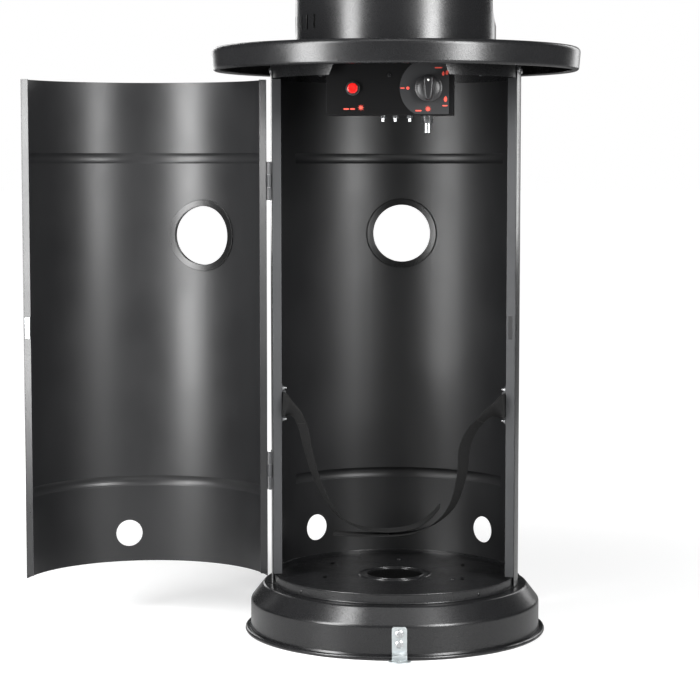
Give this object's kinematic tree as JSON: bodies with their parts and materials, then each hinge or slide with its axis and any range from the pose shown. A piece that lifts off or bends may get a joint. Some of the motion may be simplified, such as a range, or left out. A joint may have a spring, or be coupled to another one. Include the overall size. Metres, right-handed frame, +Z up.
{
  "type": "outdoor gas heater",
  "caption": "Cylindrical patio heater with a flared base, a bottle cabinet with a hinged curved door, a round table, a burner tube and a top reflector.",
  "frame": {"origin": "on the ground at the centre of the base, which is the centre of the circle of ground anchor holes", "axes": "+Z up along the axis of the cabinet and the tube, -Y out of the door opening, +X to the user's right"},
  "size_m": [0.941, 0.7668, 1.7765],
  "materials": {
    "black_coat": "satin powder coat",
    "post_coat": "satin powder coat",
    "galvanised": "zinc plated",
    "bright_screws": "nickel plated",
    "box_coat": "matte black coat",
    "dial_grey": "printed satin plate",
    "black_plastic": "moulded",
    "red_plastic": "moulded",
    "white_plastic": "moulded",
    "brass": "machined",
    "stainless": "satin stainless",
    "aluminium": "spun, satin",
    "copper": "drawn copper",
    "lead_cover": "silicone sleeve",
    "ceramic": null,
    "webbing": "woven webbing with hook-and-loop ends"
  },
  "bodies": {
    "heater": {"base_pan": "black_coat", "base_collar": "black_coat", "floor_plate": "black_coat", "ground_brackets": "galvanised", "bracket_screws": "bright_screws", "bracket_nuts": "galvanised", "collar_rivets": "black_coat", "cabinet_shell": "black_coat", "hinge_post": "post_coat", "latch_post": "post_coat", "shell_foot_screws": "black_coat", "top_collar": "black_coat", "shell_top_screws": "bright_screws", "rear_porthole_rim": "black_coat", "fixed_hinge_leaves": "post_coat", "hinge_pins": "bright_screws", "fixed_leaf_rivets": "black_coat", "door_magnet": "black_plastic", "strap_anchors": "post_coat", "strap_anchor_screws": "bright_screws", "strap_left": "webbing", "strap_right": "webbing", "table_top": "black_coat", "table_screws": "black_coat", "upper_tube": "black_coat", "tube_screws": "galvanised", "control_box": "box_coat", "box_screws": "black_coat", "dial_plate": "dial_grey", "igniter_bezel": "black_plastic", "igniter_body": "white_plastic", "valve_body": "brass", "small_fittings": "bright_screws", "inlet_fitting": "bright_screws", "tilt_switch": "black_plastic", "gas_pipe": "aluminium", "ignition_lead": "lead_cover", "thermocouple_line": "copper", "jet_holder": "brass", "mixing_tube": "stainless", "burner_deck": "stainless", "deck_screws": "galvanised", "burner_head": "stainless", "pilot_burner": "brass", "spark_electrode": "ceramic", "emitter_screen": "stainless", "emitter_cap": "stainless", "reflector_posts": "galvanised", "reflector": "aluminium", "reflector_nuts": "bright_screws"},
    "door": {"door_panel": "black_coat", "door_porthole_rim": "black_coat", "door_hinge_leaves": "post_coat", "door_leaf_rivets": "bright_screws", "door_strike": "galvanised"},
    "button": {"igniter_button": "red_plastic"},
    "stem": {"valve_stem": "bright_screws"},
    "knob": {"control_knob": "black_plastic", "knob_pointer": "white_plastic"}
  },
  "joints": [
    {"name": "door_hinge", "type": "hinge", "parent": "heater", "child": "door", "pos_m": [-0.1884, -0.04872, 0.47], "axis": [0, 0, 1], "range_deg": [0, 172]},
    {"name": "button_push", "type": "slide", "parent": "heater", "child": "button", "axis": [0, 1, 0], "range_m": [0, 0.005], "stiffness_N_per_m": 900},
    {"name": "stem_push", "type": "slide", "parent": "heater", "child": "stem", "axis": [0, 1, 0], "range_m": [0, 0.004], "stiffness_N_per_m": 2000},
    {"name": "knob_turn", "type": "hinge", "parent": "stem", "child": "knob", "pos_m": [0.057, -0.16, 0.829], "axis": [0, -1, 0], "range_deg": [0, 320]}
  ]
}
